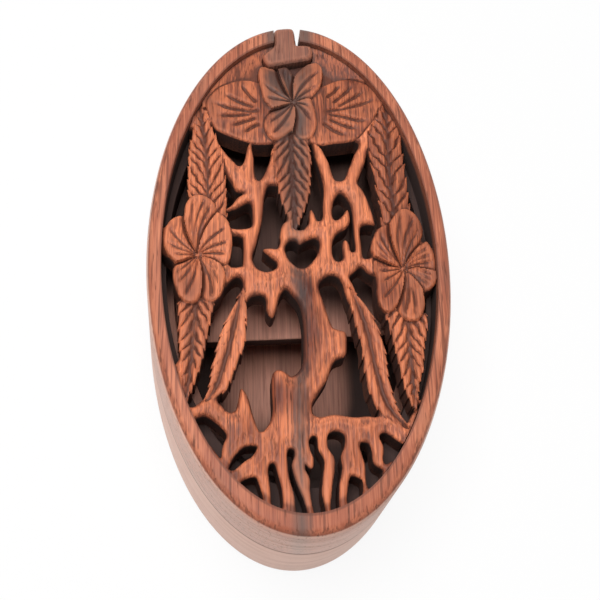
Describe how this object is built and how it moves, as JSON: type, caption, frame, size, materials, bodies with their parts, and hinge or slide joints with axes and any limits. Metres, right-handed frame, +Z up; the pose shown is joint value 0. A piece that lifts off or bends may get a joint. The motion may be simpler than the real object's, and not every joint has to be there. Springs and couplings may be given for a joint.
{
  "type": "wooden puzzle box",
  "caption": "Oval wooden puzzle box with a pierced, carved tree-and-flower lid that swivels on a dowel, a lift-out key in the lid and an inner cover over a hidden compartment.",
  "frame": {"origin": "middle of the box's underside", "axes": "+Z up, +Y along the length towards the key, +X across the width"},
  "size_m": [0.08, 0.15, 0.04],
  "materials": {
    "base_wood": "satin reddish-brown hardwood, side grain with fine pores",
    "inner_wood": "dull unpolished brown hardwood",
    "dowel_wood": "plain turned hardwood",
    "lid_wood": "satin orange-brown hardwood with dark pores along the length and a greyish heartwood streak",
    "carved_wood": "carved and rubbed orange-brown hardwood, darker in the cuts",
    "key_wood": "satin greyish-brown heartwood"
  },
  "bodies": {
    "base": {"base_tray": "base_wood", "pivot_dowel": "dowel_wood"},
    "lid": {"lid_rim": "lid_wood", "carved_panel": "carved_wood"},
    "key": {"locking_key": "key_wood"},
    "cover": {"inner_cover": "inner_wood"}
  },
  "joints": [
    {"name": "lid_swing", "type": "hinge", "parent": "base", "child": "lid", "pos_m": [0, -0.0675, 0.022], "axis": [0, 0, 1], "range_deg": [-120, 120]},
    {"name": "key_lift", "type": "slide", "parent": "lid", "child": "key", "axis": [0, 0, 1], "range_m": [0, 0.014]},
    {"name": "cover_lift", "type": "slide", "parent": "base", "child": "cover", "axis": [0, 0, 1], "range_m": [0, 0.008]}
  ]
}
